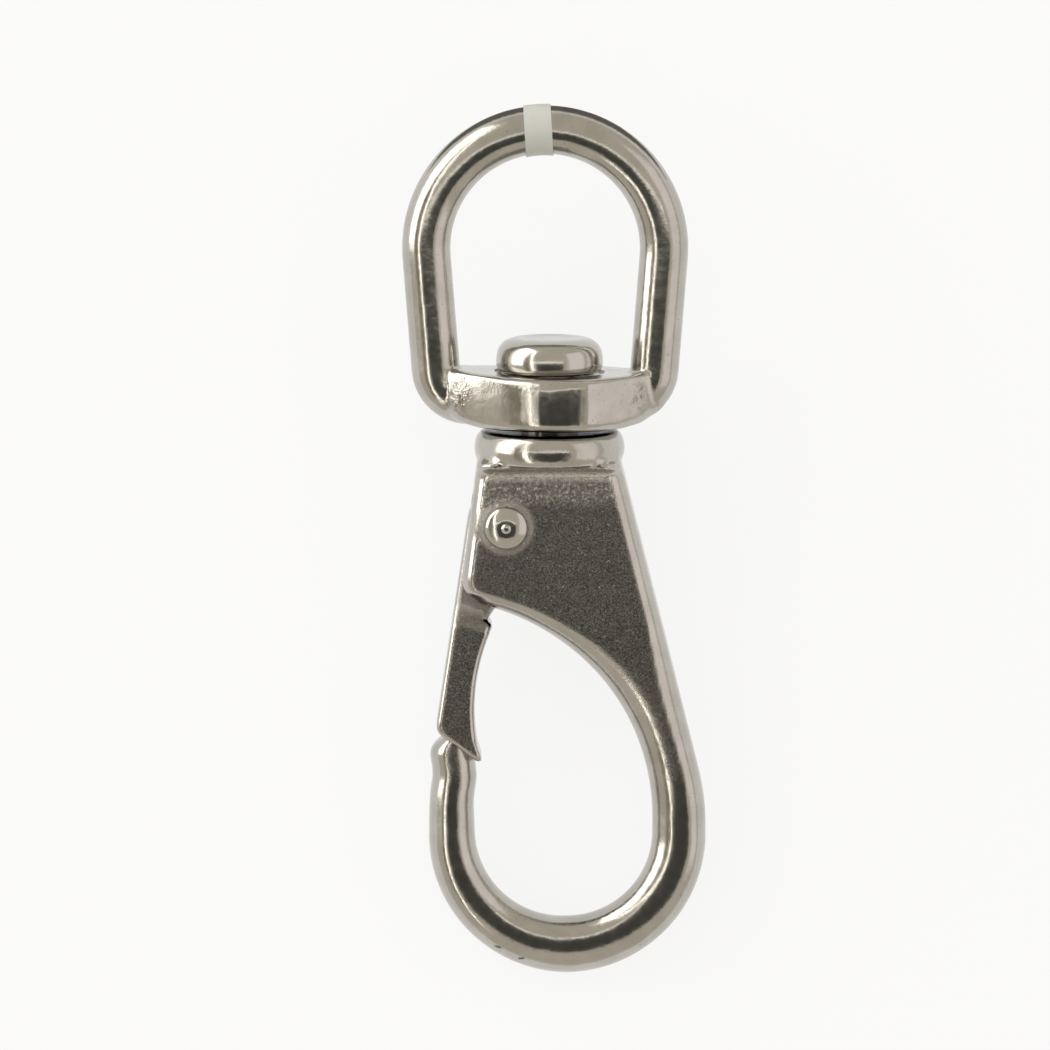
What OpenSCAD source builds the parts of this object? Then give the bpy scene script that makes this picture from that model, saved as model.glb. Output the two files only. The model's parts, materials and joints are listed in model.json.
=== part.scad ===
// Swivel snap hook: a cast hook with a sprung gate, hung on a cast eye that turns on a headed pin.
// Every piece is drawn in the hook's own frame: the swivel axis is Y, the collar's top face is at
// Y = 0, the eye is towards +Y, the hook's bend towards -Y and the front face towards +Z.
// lay_down() then lays the hook on its back, on the collar's rim and the bend.

/* [Swivel eye] */
// Width inside the eye, at its arch
eye_w = 19.4; // [15:0.1:26]
// Height inside the eye, from the base ring's top to the arch
eye_h = 22.8; // [19:0.1:32]
// Diameter of the eye's round bar
eye_bar_d = 5; // [3.6:0.1:5.1]
// Lean of each leg towards the swivel axis, in degrees
leg_lean = 4.6; // [3:0.1:6]
// Radius of the bar's centre line where a leg turns in to the ring
leg_corner_r = 3.4; // [2.8:0.1:4.5]
// Distance that the bow is cast to one side of the bore
bow_shift = 0.45; // [0:0.05:0.8]
// Diameter of the base ring
ring_d = 15.5; // [13:0.1:18]
// Height of the base ring
ring_h = 5.2; // [5.2:0.1:7]
// Rounding of the base ring's edges
ring_edge_r = 1.1; // [0.4:0.1:1.6]

/* [Swivel pin] */
// Diameter of the button head
button_d = 11; // [9:0.1:13]
// Height of the button head
button_h = 3.4; // [2.6:0.1:4.5]
// Rounding of the button head's top edge
button_edge_r = 1.6; // [0.6:0.1:2.4]
// Diameter of the pin's shank
shank_d = 6; // [4:0.1:7]
// Radial clearance of the shank in the ring
shank_gap = 0.08; // [0.02:0.01:0.1]
// Gap between the collar and the ring
ring_gap = 0.6; // [0.2:0.05:1]
// Gap between the ring and the button head
button_gap = 0.35; // [0.2:0.05:0.8]

/* [Hook body] */
// Diameter of the collar
collar_d = 15.5; // [14:0.1:18]
// Height of the collar's rim
collar_h = 3; // [2:0.1:4]
// Thickness of the two cheeks together, with the slot between them
body_t = 8.6; // [7.4:0.1:10]
// Width of the neck under the collar
neck_w = 14.7; // [13.6:0.1:15]
// Thickness of the neck under the collar
neck_t = 11.6; // [9:0.1:13]
// Width of the rounded border of the cheeks
border_w = 1.7; // [0.8:0.1:2.2]
// Distance from the collar's top to the centre of the bend
bend_drop = 41.6; // [38:0.1:50]
// Distance of the bend's centre to the side of the swivel axis
bend_side = 1.65; // [0:0.05:3]
// Radius of the bend's centre line
bend_r = 11.7; // [10:0.1:13]
// Width of the bar where the limb meets the bend
limb_w = 5.55; // [4.5:0.05:6.5]
// Width of the bar at the bottom of the bend
bend_w = 5.9; // [4.8:0.05:6.8]
// Width of the bar at the nose
nose_w = 4.75; // [4:0.05:5.4]
// Thickness of the bar, front to back
bar_t = 5.6; // [4.6:0.1:6.4]
// Radius of the long hollow from the cheeks down to the limb
hollow_r = 22.9; // [20:0.1:26]
// Length of the straight stretch between that hollow and the bend
hollow_rise = 1.6; // [0.5:0.1:3]
// Radius of the cheeks' lower corner beside the gate
cheek_corner_r = 2.6; // [1.6:0.1:3.2]
// Distance of the cheeks' gate side from the swivel axis
cheek_side = 8.4; // [7.8:0.1:9]
// Height of the nose's tip above the bend's centre
nose_rise = 11; // [10:0.1:13]

/* [Gate] */
// Distance of the gate's pivot from the swivel axis
pivot_side = 4.45; // [4:0.05:5]
// Distance of the gate's pivot below the collar's top
pivot_drop = 9.5; // [9:0.1:12]
// Radius of the gate's rounded heel
heel_r = 4; // [3.6:0.1:4.4]
// Lean of the gate's straight back, in degrees from the swivel axis
gate_lean = 8.6; // [7:0.1:10]
// Width of the slot between the cheeks
slot_w = 4.5; // [4:0.1:5]
// Clearance on each side of the gate's tongue in the slot
tongue_gap = 0.15; // [0.05:0.05:0.3]
// Clearance between the heel and the slot's wall
heel_gap = 0.5; // [0.3:0.1:0.8]
// Thickness of the gate's blade
blade_t = 6; // [5:0.1:6.6]
// Width of the blade at its waist
blade_waist_w = 3.4; // [2.8:0.1:4]
// Radius of the blade's hollow inner edge
blade_hollow_r = 21.3; // [18:0.1:26]
// Gap between the blade's shoulder and the cheeks' lower corner, which the gate turns past
shoulder_gap = 1.5; // [1.2:0.1:1.8]
// Lean of the seat where the gate's end meets the nose, in degrees below level
seat_lean = 36.4; // [32:0.1:42]
// Height of the seat over the bend's centre, measured straight below the pivot
seat_rise = 5.2; // [4.6:0.1:5.8]
// Gap between the closed gate and the nose
seat_gap = 0.1; // [0.05:0.05:0.2]

/* [Gate pin and spring] */
// Diameter of the gate pin's shank
pin_d = 3; // [2.4:0.1:3.4]
// Radial clearance of the gate on its pin
pin_gap = 0.05; // [0.02:0.01:0.1]
// Diameter of the gate pin's domed heads
pin_head_d = 4.5; // [4:0.1:5.2]
// Height of the gate pin's domed heads
pin_head_h = 0.85; // [0.4:0.05:1.1]
// Diameter of the raised boss around each head
boss_d = 6.2; // [5.4:0.1:6.8]
// Height of the boss above the cheek
boss_h = 0.35; // [0.1:0.05:0.6]
// Diameter of the spring's wire
wire_d = 0.45; // [0.35:0.05:0.5]
// Gap between the gate pin and the spring's coil
coil_gap = 0.18; // [0.1:0.02:0.3]
// Whole turns of the spring's coil
coil_turns = 3; // [2:1:3]
// Width of the pocket in the gate's heel that holds the coil
pocket_w = 2.4; // [2.2:0.1:2.6]

/* [Band] */
// Width of the band wrapped round the eye's bar
band_w = 2.95; // [1.5:0.05:5]
// Thickness of the band
band_t = 0.14; // [0.1:0.01:0.4]
// Gap between the band and the bar
band_gap = 0.02; // [0.01:0.01:0.05]
// Angle of the band from the top of the arch, in degrees
band_turn = 3.5; // [-20:0.5:20]

/* [Hidden] */
$fn = 72;
steel = [0.62, 0.6, 0.56];
polished = [0.74, 0.72, 0.68];
wire_steel = [0.5, 0.5, 0.5];
pale_tape = [0.78, 0.78, 0.75];
// Reach of a cutting shape that runs right through the part, and of one that only starts clear of it
far = 40;
over = 1;

// ---- the hook's outline, seen from the front ----
bend = [bend_side, -bend_drop];
pivot = [-pivot_side, -pivot_drop];
neck_y = -collar_h;
limb_out_r = bend_r + limb_w / 2;
limb_in_r = bend_r - limb_w / 2;
hollow = bend + [limb_in_r - hollow_r, hollow_rise];
corner_x = -cheek_side + cheek_corner_r;
corner_reach = hollow_r + cheek_corner_r;
corner = [corner_x, hollow[1] + sqrt(corner_reach * corner_reach - pow(corner_x - hollow[0], 2))];
corner_end = 360 + atan2(hollow[1] - corner[1], hollow[0] - corner[0]);

function turned(a) = [cos(a), sin(a)];
function arc(c, r, a0, a1, n) = [for (i = [0:n]) c + r * turned(a0 + (a1 - a0) * i / n)];
function smooth(t) = let (u = min(1, max(0, t))) u * u * (3 - 2 * u);
function mix(a, b, t) = a + (b - a) * t;
// Angle at which a line from p touches the circle round c, on the side that way points to
function touch(p, c, r, way) = atan2(p[1] - c[1], p[0] - c[0]) + way * acos(r / norm(p - c));

neck_gate_side = [-neck_w / 2, neck_y];
neck_limb_side = [neck_w / 2, neck_y];
corner_start = touch(neck_gate_side, corner, cheek_corner_r, 1);
limb_touch = touch(neck_limb_side, bend, limb_out_r, -1);
limb_top = bend + limb_out_r * turned(limb_touch);

edge_steps = 5;
corner_steps = 6;
hollow_steps = 14;
cheek_steps = edge_steps + corner_steps + hollow_steps;
bend_steps = 18;
nose_steps = 4;
// How far the outer edge comes in at the nose's tip, and how far the neck starts inside the collar
nose_tip_in = 1.6;
neck_in = 0.4;

// The edge beside the gate and the opening, from the neck to the end of the hollow
cheek_inner = concat(
    [for (i = [0:edge_steps - 1])
        mix(neck_gate_side, corner + cheek_corner_r * turned(corner_start), i / edge_steps)],
    [for (i = [0:corner_steps - 1])
        corner + cheek_corner_r * turned(mix(corner_start, corner_end, i / corner_steps))],
    arc(hollow, hollow_r, corner_end - 180, 0, hollow_steps)
);
// The outer edge across from it: a straight run for the first share of the steps, then round on to
// the bend. The steps lag behind at the top so that every section lies square to the limb.
limb_share = 0.93;
limb_lag = 1.25;
limb_last_a = 3;
function limb_at(t) =
    t < limb_share ? mix(neck_limb_side, limb_top, t / limb_share)
    : bend + limb_out_r * turned(mix(limb_touch, limb_last_a, (t - limb_share) / (1 - limb_share)));
cheek_outer = [for (i = [0:cheek_steps]) limb_at(pow(i / cheek_steps, limb_lag))];

function bend_half_w(a) = lookup(a, [[0, limb_w / 2], [90, bend_w / 2], [180, nose_w / 2]]);
bend_inner = [for (i = [0:bend_steps]) let (a = 180 * i / bend_steps)
    bend + (bend_r - bend_half_w(a)) * turned(-a)];
bend_outer = [for (i = [0:bend_steps]) let (a = 180 * i / bend_steps)
    bend + (bend_r + bend_half_w(a)) * turned(-a)];
nose_inner = [for (i = [1:nose_steps])
    bend + [nose_w / 2 - bend_r, nose_rise * i / nose_steps]];
nose_outer = [for (i = [1:nose_steps])
    bend + [(i == nose_steps ? nose_tip_in : 0) - nose_w / 2 - bend_r, nose_rise * i / nose_steps]];

body_inner = concat([neck_gate_side + [neck_in, collar_h / 2]], cheek_inner, bend_inner, nose_inner);
body_outer = concat([neck_limb_side + [-neck_in, collar_h / 2]], cheek_outer, bend_outer, nose_outer);

// Half thickness and roundness of each section: thick and oval under the collar, flat over the
// cheeks, and round again along the limb, the bend and the nose
ramp_steps = 1.2;
neck_round = 0.8;
limb_round_from = 0.42;
function cheek_section(t, i) = let (
    under = smooth(i / ramp_steps),
    limb = smooth((t - limb_round_from) / (1 - limb_round_from)))
    [mix(mix(neck_t / 2, body_t / 2, under), bar_t / 2, limb), max(mix(neck_round, 0, under), limb)];
body_sections = concat(
    [[neck_t / 2, 1]],
    [for (i = [0:cheek_steps]) cheek_section(i / cheek_steps, i)],
    [for (i = [1:bend_steps + 1 + nose_steps]) [bar_t / 2, 1]]
);

// ---- a solid swept along two edges ----
quarter = 5;
fullest = 0.95;
border_depth = 1.4;
// One section between an edge point a and an edge point b. Its corners are quarters of an ellipse,
// and round says how far they grow, from a border's width up to half of the section.
function section(a, b, half_t, round, border) = let (
    half_w = norm(b - a) / 2,
    across = (b - a) / (2 * half_w),
    middle = (a + b) / 2,
    rx = mix(min(border, fullest * half_w), fullest * half_w, round),
    rz = mix(min(border * border_depth, fullest * half_t), fullest * half_t, round))
    [for (k = [0:3], j = [0:quarter - 1]) let (
        v = 90 * (k + j / (quarter - 1)),
        sx = k == 0 || k == 3 ? 1 : -1,
        sz = k < 2 ? 1 : -1,
        w = sx * (half_w - rx) + rx * cos(v),
        z = sz * (half_t - rz) + rz * sin(v))
        [middle[0] + across[0] * w, middle[1] + across[1] * w, z]];

// Closes rings of points, one after the other, into a solid
module skin(points, ring) {
    count = len(points) / ring;
    sides = [for (i = [0:count - 2], j = [0:ring - 1]) let (
        a = i * ring + j,
        b = i * ring + (j + 1) % ring)
        each [[a, b + ring, b], [a, a + ring, b + ring]]];
    first = [for (j = [1:ring - 2]) [0, j, j + 1]];
    last = [for (j = [1:ring - 2]) let (s = (count - 1) * ring) [s, s + j + 1, s + j]];
    polyhedron(points, concat(first, sides, last));
}

module swept(inner, outer, sections, border) {
    skin([for (i = [0:len(inner) - 1])
        each section(inner[i], outer[i], sections[i][0], sections[i][1], border)], 4 * quarter);
}

// A round bar or wire along a path that never runs along Z
module tube(path, d, ring) {
    last = len(path) - 1;
    skin([for (i = [0:last]) let (
        ahead = path[min(i + 1, last)] - path[max(i - 1, 0)],
        along = ahead / norm(ahead),
        out = cross([0, 0, 1], along),
        side = out / norm(out),
        up = cross(along, side))
        for (j = [0:ring - 1]) let (v = 360 * j / ring)
            path[i] + d / 2 * (cos(v) * side + sin(v) * up)], ring);
}

// ---- laying the hook down ----
bend_low = bar_t / 2;
rim_low = collar_d / 2;
rim_y = -collar_h / 2;
pitch = asin((rim_low - bend_low) / (bend_drop + bend_r + rim_y));
arch_r = (eye_w + eye_bar_d) / 2;
ring_y = ring_gap;
ring_top = ring_y + ring_h;
ring_mid = ring_y + ring_h / 2;
arch_y = ring_top + eye_h - eye_w / 2;
top_end = (arch_y + arch_r) * cos(pitch) + eye_bar_d / 2;
low_end = -(bend_drop + bend_r) * cos(pitch) - bend_w / 2;
limb_end = max(bend_side + limb_out_r, arch_r + eye_bar_d / 2 - bow_shift);
gate_end = min(bend_side - bend_r - nose_w / 2, -arch_r - eye_bar_d / 2 - bow_shift);
lift = (bend_drop + bend_r) * sin(pitch) + bend_low;
module lay_down() {
    translate([-(limb_end + gate_end) / 2, -(top_end + low_end) / 2, lift])
        rotate([pitch, 0, 0])
            children();
}

// Turns a shape drawn round Z so that it stands round the swivel axis
module round_swivel() {
    rotate([-90, 0, 0]) children();
}

// ---- hook body ----
slot_r = heel_r + heel_gap;
shoulder_r = norm(corner - pivot) + cheek_corner_r + shoulder_gap;
seat_drop = (bend_drop - pivot_drop - seat_rise) * cos(seat_lean);
// Bulge of the collar's rim
crown = 0.55;
module collar() {
    crown_r = (collar_h * collar_h / 4 + crown * crown) / (2 * crown);
    crown_a = asin(collar_h / 2 / crown_r);
    rim = arc([collar_d / 2 - crown_r, -collar_h / 2], crown_r, crown_a, -crown_a, 6);
    round_swivel()
        rotate_extrude()
            polygon(concat([[0, 0]], [for (p = rim) [p[0], p[1]]], [[0, -collar_h]]));
}

// The slot between the cheeks: round behind the heel, then open to the gate's side and the opening
slot_slope = 2;
slot_reach = shoulder_r + 1.9;
slot_roof = 0.6;
module slot() {
    floor_top = pivot + [slot_r, 0];
    floor_end = pivot + [slot_r - slot_slope, -slot_reach];
    translate([0, 0, -slot_w / 2])
        linear_extrude(slot_w) {
            translate(pivot) circle(slot_r);
            polygon([pivot + [-far, slot_r * slot_roof], pivot + [0, slot_r * slot_roof], floor_top,
                floor_end, [-far, floor_end[1]]]);
        }
}

// Everything on the gate's side of the seat
module above_seat() {
    translate(pivot)
        rotate(-seat_lean)
            translate([-far, -seat_drop, -far / 2])
                cube([2 * far, far / 2, far]);
}

spring_r = pin_d / 2 + coil_gap + wire_d / 2;
turn_gap = 0.04;
leg_at_z = coil_turns * (wire_d + turn_gap) / 2;
// Depth of the hole for the spring's leg, its clearance round the wire and past the leg's end
anchor_depth = 1.4;
anchor_gap = 0.08;
anchor_spare = 0.4;
module anchor_hole() {
    start = heel_r * 0.3;
    translate([pivot[0] + slot_r - start, pivot[1] + spring_r, leg_at_z])
        rotate([0, 90, 0])
            cylinder(h = anchor_depth + start, r = wire_d / 2 + anchor_gap, $fn = 24);
}

module hook_body() {
    color(steel)
        difference() {
            union() {
                swept(body_inner, body_outer, body_sections, border_w);
                collar();
                translate([pivot[0], pivot[1], -body_t / 2 - boss_h])
                    cylinder(h = body_t + 2 * boss_h, d = boss_d);
            }
            slot();
            anchor_hole();
            translate([pivot[0], pivot[1], -far / 2]) cylinder(h = far, d = pin_d);
            translate([0, over, 0]) rotate([90, 0, 0]) cylinder(h = over + shank_depth, d = shank_d);
            intersection() {
                above_seat();
                translate([-far, -bend_drop, -far / 2])
                    cube([far + bend_side - bend_r / 2, nose_rise + over, far]);
            }
        }
}

// ---- swivel pin ----
// The shank's upset end stands a little proud in the slot
shank_proud = 0.3;
shank_depth = pivot_drop - slot_r + shank_proud;
button_y = ring_top + button_gap;
// Depth of the shallow dish in the button's top
dish = 0.12;
module swivel_pin() {
    under_r = 0.8;
    top_y = button_y + button_h;
    head_r = button_d / 2;
    color(polished)
        round_swivel()
            rotate_extrude()
                polygon(concat(
                    [[0, -shank_depth], [shank_d / 2, -shank_depth], [shank_d / 2, button_y]],
                    arc([head_r - under_r, button_y + under_r], under_r, -90, 0, 5),
                    arc([head_r - button_edge_r, top_y - button_edge_r], button_edge_r, 0, 90, 7),
                    [[0, top_y - dish]]));
}

// ---- swivel eye ----
// Centre line of half the bow: from the base ring, round the corner, up the leg and over the arch
leg_top = [-arch_r * cos(leg_lean), arch_y - arch_r * sin(leg_lean)];
leg_h = (leg_top[1] + leg_corner_r * sin(leg_lean) - ring_mid - leg_corner_r) / cos(leg_lean);
leg_turn = leg_top + leg_h * [sin(leg_lean), -cos(leg_lean)]
    + leg_corner_r * [cos(leg_lean), sin(leg_lean)];
half_bow = concat(
    [[-shank_d / 2, ring_mid]],
    arc(leg_turn, leg_corner_r, 270, 180 + leg_lean, 8),
    arc([0, arch_y], arch_r, 180 + leg_lean, 90, 20)
);

module bow() {
    last = len(half_bow) - 1;
    other_half = [for (i = [last - 1:-1:0]) [-half_bow[i][0], half_bow[i][1]]];
    tube([for (p = concat(half_bow, other_half)) [p[0], p[1], 0]], eye_bar_d, 24);
}

module base_ring() {
    top_edge_r = ring_edge_r / 2;
    edge_x = ring_d / 2;
    round_swivel()
        rotate_extrude()
            polygon(concat(
                [[0, ring_y]],
                arc([edge_x - ring_edge_r, ring_y + ring_edge_r], ring_edge_r, -90, 0, 6),
                arc([edge_x - top_edge_r, ring_top - top_edge_r], top_edge_r, 0, 90, 4),
                [[0, ring_top]]));
}

module swivel_eye() {
    color(steel)
        difference() {
            union() {
                translate([-bow_shift, 0, 0]) bow();
                base_ring();
            }
            round_swivel()
                cylinder(h = far, d = shank_d + 2 * shank_gap, center = true);
        }
}

// ---- band ----
module eye_band() {
    bar_r = eye_bar_d / 2 + band_gap;
    half_angle = asin(min(0.9, band_w / arch_r));
    color(pale_tape)
        translate([-bow_shift, arch_y, 0])
            rotate(band_turn)
                intersection() {
                    rotate_extrude(angle = 2 * half_angle, start = 90 - half_angle)
                        translate([arch_r, 0])
                            difference() {
                                circle(r = bar_r + band_t);
                                circle(r = bar_r);
                            }
                    translate([0, arch_r, 0]) cube([band_w, 4 * eye_bar_d, 4 * eye_bar_d], center = true);
                }
}

// ---- gate ----
gate_out = [-cos(gate_lean), sin(gate_lean)];
gate_down = [-sin(gate_lean), -cos(gate_lean)];
blade_border = 0.55;
blade_steps = 14;
// The waist's place along the blade, as a share of the way from the shoulder to the seat
waist_share = 0.537;
waist_at = mix(shoulder_r, seat_drop, waist_share);
// The blade is drawn longer at both ends than what its shoulder and its seat leave of it
blade_spare = 4.5;
blade_from = shoulder_r - blade_spare / 3;
blade_to = seat_drop + blade_spare;
function gate_back(s) = pivot + heel_r * gate_out + s * gate_down;
function blade_w(s) =
    blade_waist_w + blade_hollow_r - sqrt(blade_hollow_r * blade_hollow_r - pow(s - waist_at, 2));

module blade() {
    places = [for (i = [0:blade_steps]) mix(blade_from, blade_to, i / blade_steps)];
    difference() {
        swept([for (s = places) gate_back(s)], [for (s = places) gate_back(s) - blade_w(s) * gate_out],
            [for (s = places) [blade_t / 2, 0]], blade_border);
        translate([pivot[0], pivot[1], -far / 2]) cylinder(h = far, r = shoulder_r);
        translate(pivot)
            rotate(-seat_lean)
                translate([-far, -seat_drop + seat_gap - far / 2, -far / 2]) cube([2 * far, far / 2, far]);
    }
}

// The tongue's inner edge leaves the round heel at this angle
heel_turn = -20;
module tongue() {
    tongue_t = slot_w - 2 * tongue_gap;
    tongue_end = shoulder_r + over;
    tongue_in = 0.3;
    translate([0, 0, -tongue_t / 2])
        linear_extrude(tongue_t) {
            translate(pivot) circle(heel_r);
            polygon([gate_back(0), gate_back(tongue_end),
                gate_back(tongue_end) - (blade_w(tongue_end) - tongue_in) * gate_out,
                pivot + heel_r * turned(heel_turn), pivot]);
        }
}

// Room round the coil, between the spring's leg and the wall it pushes on, and past the leg's end
coil_spare = 0.5;
leg_rest_gap = 0.02;
leg_spare = 0.3;
module coil_pocket() {
    coil_out_r = spring_r + wire_d / 2;
    leg_wall = coil_out_r + leg_rest_gap;
    pocket_r = coil_out_r + coil_spare;
    pocket_end = -leg_length - leg_spare;
    translate([pivot[0], pivot[1], -pocket_w / 2])
        linear_extrude(pocket_w) {
            circle(pocket_r);
            polygon([[-leg_wall, 0], [-leg_wall, pocket_end], [heel_r * 2, pocket_end],
                [heel_r * 2, pocket_r], [0, pocket_r]]);
        }
}

module gate() {
    color(steel)
        difference() {
            union() {
                blade();
                tongue();
            }
            coil_pocket();
            translate([pivot[0], pivot[1], -far / 2]) cylinder(h = far, d = pin_d + 2 * pin_gap);
        }
}

// ---- gate pin ----
module gate_pin() {
    boss_z = body_t / 2 + boss_h;
    head_r = pin_head_d / 2;
    rim = 0.15;
    dome_h = pin_head_h - rim;
    dome_r = (head_r * head_r + dome_h * dome_h) / (2 * dome_h);
    dome_a = acos((dome_r - dome_h) / dome_r);
    half = concat(
        [[0, 0], [pin_d / 2, 0], [pin_d / 2, boss_z], [head_r, boss_z]],
        arc([0, boss_z + pin_head_h - dome_r], dome_r, 90 - dome_a, 90, 6));
    color(polished)
        translate([pivot[0], pivot[1], 0])
            for (side = [0, 1])
                mirror([0, 0, side]) rotate_extrude() polygon(half);
}

// ---- gate spring ----
leg_length = 5.5;
coil_degrees = 360 * coil_turns + 90;
module gate_spring() {
    steps = 12 * coil_turns + 3;
    anchor_end = [slot_r + anchor_depth - anchor_spare, spring_r, leg_at_z];
    coil = [for (i = [0:steps]) let (a = 90 + coil_degrees * i / steps)
        [spring_r * cos(a), spring_r * sin(a), leg_at_z * (1 - 2 * i / steps)]];
    path = concat([anchor_end], coil, [[-spring_r, -leg_length, -leg_at_z]]);
    color(wire_steel)
        translate([pivot[0], pivot[1], 0])
            tube(path, wire_d, 8);
}

lay_down() hook_body();
lay_down() swivel_pin();
lay_down() swivel_eye();
lay_down() eye_band();
lay_down() gate();
lay_down() gate_pin();
lay_down() gate_spring();
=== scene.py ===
"""Looks of a cast swivel snap hook: a hook with a sprung gate, hung on an eye by a headed pin.

Every piece is drawn in millimetres in the hook's own frame (swivel axis along Y, collar's top at
Y = 0, eye towards +Y, front face towards +Z) and is then laid into its place on the CAD frame.
"""

import json
import math

import bmesh
import bpy
from mathutils import Matrix, Vector


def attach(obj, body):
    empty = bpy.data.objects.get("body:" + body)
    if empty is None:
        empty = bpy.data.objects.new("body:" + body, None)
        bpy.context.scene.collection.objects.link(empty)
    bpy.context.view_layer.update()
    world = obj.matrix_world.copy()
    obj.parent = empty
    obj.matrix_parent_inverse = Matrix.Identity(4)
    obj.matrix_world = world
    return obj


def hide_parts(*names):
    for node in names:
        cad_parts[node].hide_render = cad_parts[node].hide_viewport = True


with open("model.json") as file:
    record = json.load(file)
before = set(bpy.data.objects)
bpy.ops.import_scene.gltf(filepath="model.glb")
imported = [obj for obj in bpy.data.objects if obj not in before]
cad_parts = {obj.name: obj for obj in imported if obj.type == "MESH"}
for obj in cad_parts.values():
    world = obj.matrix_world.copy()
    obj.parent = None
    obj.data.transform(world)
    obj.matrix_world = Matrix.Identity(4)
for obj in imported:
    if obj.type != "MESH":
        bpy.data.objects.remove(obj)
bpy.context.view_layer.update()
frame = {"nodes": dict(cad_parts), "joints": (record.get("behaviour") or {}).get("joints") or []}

# ---------------------------------------------------------------- the hook's frame and sizes

RING_MID = 3.2
BEND = (1.65, -41.6)
BEND_R = 11.7
LIMB_W, BEND_W, NOSE_W, BAR_T = 5.55, 5.9, 4.75, 5.6
NECK_W, NECK_T, BODY_T = 14.7, 11.6, 8.6
COLLAR_H = 3.0
HOLLOW_R, HOLLOW_RISE = 22.9, 1.6
CHEEK_SIDE, CHEEK_CORNER_R = 8.95, 2.6
PIVOT = Vector((-4.45, -9.5))
SLOT_W, SLOT_R = 4.5, 4.5
PIN_R, PIN_BORE = 1.5, 1.55
EYE_SHIFT, EYE_BAR_R, ARCH_R, ARCH_Y = -0.45, 2.5, 12.2, 18.9
LEG_LEAN, LEG_CORNER_R = 4.6, 3.4
SHANK_R, SHANK_BORE, SHANK_END = 3.0, 3.08, -5.3
GATE_LEAN, HEEL_R, BLADE_T, TONGUE_T = 8.6, 4.0, 6.0, 4.2
WAIST_W, WAIST_AT, BLADE_HOLLOW_R = 3.4, 16.3, 21.3
SEAT_LEAN, SEAT_DROP, SEAT_GAP = 36.4, 21.65, 0.1
SEAT_SWELL, SEAT_SWELL_HALF = 0.14, 2.3
BAND_W, BAND_TURN, BAND_IN, BAND_OUT, BAND_STEPS = 2.8, 93.3, 0.02, 0.14, 8

joints = {joint["name"]: joint for joint in frame["joints"]}
along = Vector(joints["swivel"]["axis"]).normalized()
front = Vector(joints["gate_hinge"]["axis"]).normalized()
across = along.cross(front)
collar_top = Vector(joints["swivel"]["pos_m"]) - along * RING_MID / 1000
LAID_DOWN = Matrix.Translation(collar_top) @ Matrix((across, along, front)).transposed().to_4x4()
LAID_DOWN = LAID_DOWN @ Matrix.Diagonal((0.001, 0.001, 0.001, 1))


def laid(x, y, z=0.0):
    """A point of the hook's frame, in millimetres, as it lies in the CAD frame, in metres."""
    return LAID_DOWN @ Vector((x, y, z))


# Voxel sizes of the castings, and a plate thick enough to cut through any of them
GRAIN, GATE_GRAIN = 0.2, 0.11
CUT_THROUGH = 12

# ---------------------------------------------------------------- bench tools


def mix(a, b, t):
    return a + (b - a) * t


def smooth(t):
    t = min(1.0, max(0.0, t))
    return t * t * (3 - 2 * t)


def read_off(table, x):
    """Reads a height off a table of (place, height) pairs, straight between its places."""
    for (x0, h0), (x1, h1) in zip(table, table[1:]):
        if x <= x1:
            return mix(h0, h1, max(0.0, (x - x0) / (x1 - x0)))
    return table[-1][1]


def heading(degrees):
    a = math.radians(degrees)
    return Vector((math.cos(a), math.sin(a)))


def rounding(radius, start, end, centre, steps):
    return [Vector(centre) + radius * heading(mix(start, end, i / steps)) for i in range(steps + 1)]


def eased_corner(before, corner, after, size, steps=5):
    """Points that turn a sharp corner of an outline into a soft one."""
    a = corner + (before - corner).normalized() * size
    b = corner + (after - corner).normalized() * size
    shares = [i / steps for i in range(steps + 1)]
    return [a.lerp(corner, t).lerp(corner.lerp(b, t), t) for t in shares]


def clear_bench():
    for piece in list(bpy.context.selected_objects):
        piece.select_set(False)


def take_up(piece):
    clear_bench()
    piece.select_set(True)
    bpy.context.view_layer.objects.active = piece


def draw_out(name, rings):
    """A closed bar: a disc set on the first ring, then one extrusion to each next ring."""
    clear_bench()
    bpy.ops.mesh.primitive_circle_add(vertices=len(rings[0]), radius=1, fill_type="NGON")
    piece = bpy.context.object
    piece.name = name
    bpy.ops.object.mode_set(mode="EDIT")
    shape = bmesh.from_edit_mesh(piece.data)
    shape.verts.ensure_lookup_table()
    for vert, point in zip(shape.verts, rings[0]):
        vert.co = point
    for before, after in zip(rings, rings[1:]):
        bpy.ops.mesh.extrude_region_move()
        shape = bmesh.from_edit_mesh(piece.data)
        end = [vert for vert in shape.verts if vert.select]
        place = {tuple(round(c, 3) for c in point): i for i, point in enumerate(before)}
        for vert in end:
            vert.co = after[place[tuple(round(c, 3) for c in vert.co)]]
    bmesh.update_edit_mesh(piece.data)
    bpy.ops.mesh.select_all(action="SELECT")
    bpy.ops.mesh.remove_doubles(threshold=0.0005)
    bpy.ops.mesh.select_all(action="DESELECT")
    bpy.ops.mesh.select_non_manifold()
    bpy.ops.mesh.edge_face_add()
    bpy.ops.mesh.select_all(action="SELECT")
    bpy.ops.mesh.normals_make_consistent(inside=False)
    bpy.ops.object.mode_set(mode="OBJECT")
    return piece


def turn_up(name, profile, centre=(0.0, 0.0), axis="Y", sides=72):
    """A turned piece from (radius, height) steps, round the swivel axis or round a pin."""
    rings = []
    for radius, height in profile:
        ring = []
        for i in range(sides):
            u, v = radius * heading(360 * i / sides)
            if axis == "Y":
                ring.append(Vector((centre[0] + u, height, centre[1] - v)))
            else:
                ring.append(Vector((centre[0] + u, centre[1] + v, height)))
        rings.append(ring)
    return draw_out(name, rings)


def plate(name, outline, thickness):
    """A flat plate, cut to an outline and as thick on both sides of the middle plane."""
    return draw_out(name, [[Vector((x, y, z)) for x, y in outline]
                           for z in (-thickness / 2, thickness / 2)])


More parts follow.
